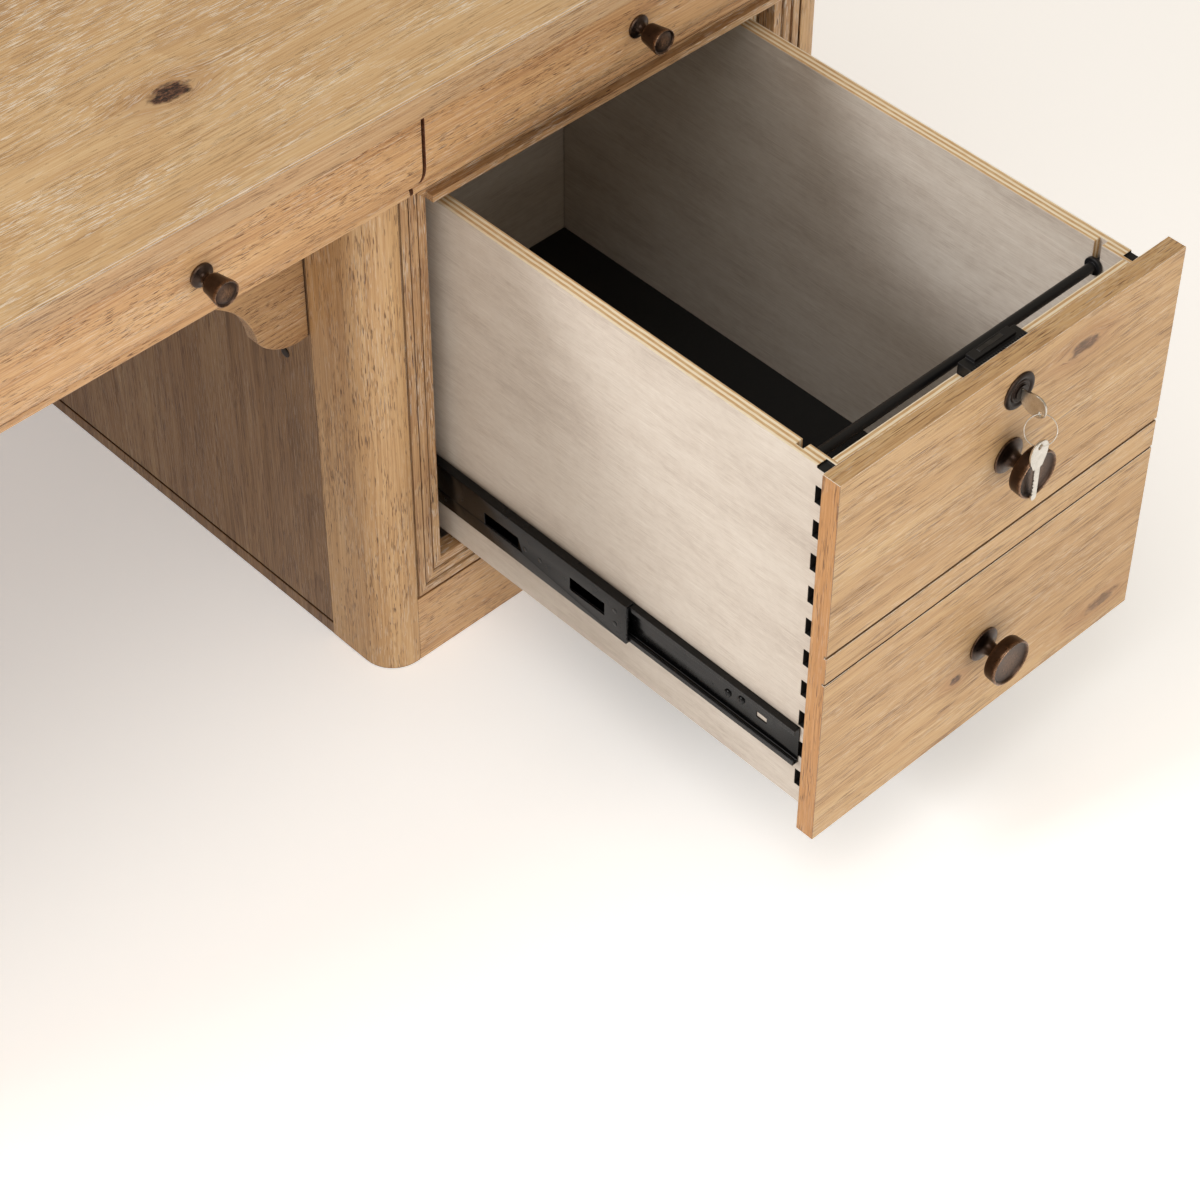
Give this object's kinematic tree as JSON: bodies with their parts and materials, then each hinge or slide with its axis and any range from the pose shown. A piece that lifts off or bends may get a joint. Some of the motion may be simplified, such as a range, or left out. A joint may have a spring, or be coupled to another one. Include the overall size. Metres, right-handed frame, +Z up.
{
  "type": "executive desk",
  "caption": "Double-pedestal executive desk in cerused oak with rounded posts, a moulded frieze, a shaped kneehole apron and deep file drawers, one standing open with its lock and keys.",
  "frame": {"origin": "centre of the bounding box's footprint, on the floor plane, with the right file drawer open", "axes": "+X along the desk's width to the sitter's right, -Y towards the sitter, +Z up"},
  "size_m": [2.053, 1.4799, 0.762],
  "materials": {
    "oak": "wire-brushed and cerused, matt lacquer",
    "plywood": "washed plywood",
    "black_board": "black faced board",
    "dark_plastic": "matt",
    "black_steel": "satin black",
    "bronze": "oil-rubbed dark bronze",
    "nickel": "bright nickel"
  },
  "bodies": {
    "desk": {"desk_top": "oak", "left_front_posts": "oak", "right_front_posts": "oak", "left_rear_posts": "oak", "right_rear_posts": "oak", "left_inner_side_panel": "oak", "right_inner_side_panel": "oak", "left_outer_side_panel": "oak", "right_outer_side_panel": "oak", "pedestal_backs": "oak", "pedestal_bottoms": "plywood", "pedestal_decks": "plywood", "base_rails": "oak", "drawer_rails": "oak", "left_opening_moulding": "oak", "right_opening_moulding": "oak", "runner_panels": "plywood", "modesty_panel": "oak", "kneehole_apron": "oak", "panel_plugs": "dark_plastic", "left_frieze_end": "oak", "right_frieze_end": "oak", "frieze_back": "oak", "frieze_runners": "plywood", "lock_strike": "plywood", "left_slide_cabinet_members": "black_steel", "right_slide_cabinet_members": "black_steel"},
    "right_file_drawer": {"right_file_front": "oak", "right_file_box_front": "plywood", "right_file_left_side": "plywood", "right_file_right_side": "plywood", "right_file_back": "plywood", "right_file_bottom": "black_board", "right_file_knobs": "bronze", "right_slide_drawer_members": "black_steel", "lock_housing": "black_steel", "lock_escutcheon": "bronze"},
    "right_slide_middles": {"right_slide_middle_members": "black_steel"},
    "file_rod": {"file_rod": "black_steel"},
    "lock_plug": {"lock_plug": "bronze", "key": "nickel"},
    "lock_bolt": {"lock_bolt": "nickel"},
    "key_ring": {"key_ring": "nickel"},
    "spare_key": {"spare_key": "nickel"},
    "left_file_drawer": {"left_file_front": "oak", "left_file_box": "plywood", "left_file_knobs": "bronze", "left_slide_drawer_members": "black_steel"},
    "left_slide_middles": {"left_slide_middle_members": "black_steel"},
    "left_frieze_drawer": {"left_drawer_front": "oak", "left_drawer_box": "plywood", "left_drawer_knobs": "bronze"},
    "centre_frieze_drawer": {"centre_drawer_front": "oak", "centre_drawer_box": "plywood", "centre_drawer_knobs": "bronze"},
    "right_frieze_drawer": {"right_drawer_front": "oak", "right_drawer_box": "plywood", "right_drawer_knobs": "bronze"}
  },
  "joints": [
    {"name": "right_file_drawer_slide", "type": "slide", "parent": "desk", "child": "right_file_drawer", "axis": [0, -1, 0], "range_m": [-0.534, 0]},
    {"name": "right_slide_middles_slide", "type": "slide", "parent": "desk", "child": "right_slide_middles", "axis": [0, -1, 0], "range_m": [-0.29, 0]},
    {"name": "left_file_drawer_slide", "type": "slide", "parent": "desk", "child": "left_file_drawer", "axis": [0, -1, 0], "range_m": [0, 0.534]},
    {"name": "left_slide_middles_slide", "type": "slide", "parent": "desk", "child": "left_slide_middles", "axis": [0, -1, 0], "range_m": [0, 0.29]},
    {"name": "file_rod_lift", "type": "slide", "parent": "right_file_drawer", "child": "file_rod", "axis": [0, 0, 1], "range_m": [0, 0.04]},
    {"name": "lock_plug_turn", "type": "hinge", "parent": "right_file_drawer", "child": "lock_plug", "pos_m": [0.6805, -0.69416, 0.563], "axis": [0, 1, 0], "range_deg": [0, 90]},
    {"name": "lock_bolt_throw", "type": "slide", "parent": "right_file_drawer", "child": "lock_bolt", "axis": [0, 0, 1], "range_m": [0, 0.012]},
    {"name": "key_ring_swing", "type": "hinge", "parent": "lock_plug", "child": "key_ring", "pos_m": [0.6805, -0.72216, 0.553], "axis": [1, 0, 0], "range_deg": [-15, 0]},
    {"name": "spare_key_swing", "type": "hinge", "parent": "key_ring", "child": "spare_key", "pos_m": [0.6702, -0.73245, 0.5268], "axis": [0, 1, 0], "range_deg": [-20, 20]},
    {"name": "left_frieze_drawer_slide", "type": "slide", "parent": "desk", "child": "left_frieze_drawer", "axis": [0, -1, 0], "range_m": [0, 0.36]},
    {"name": "centre_frieze_drawer_slide", "type": "slide", "parent": "desk", "child": "centre_frieze_drawer", "axis": [0, -1, 0], "range_m": [0, 0.36]},
    {"name": "right_frieze_drawer_slide", "type": "slide", "parent": "desk", "child": "right_frieze_drawer", "axis": [0, -1, 0], "range_m": [0, 0.36]}
  ],
  "couplings": [
    {"joint": "right_slide_middles_slide", "follows": "right_file_drawer_slide", "ratio": 0.54307},
    {"joint": "left_slide_middles_slide", "follows": "left_file_drawer_slide", "ratio": 0.54307},
    {"joint": "lock_bolt_throw", "follows": "lock_plug_turn", "m_per_rad": 0.0075}
  ]
}
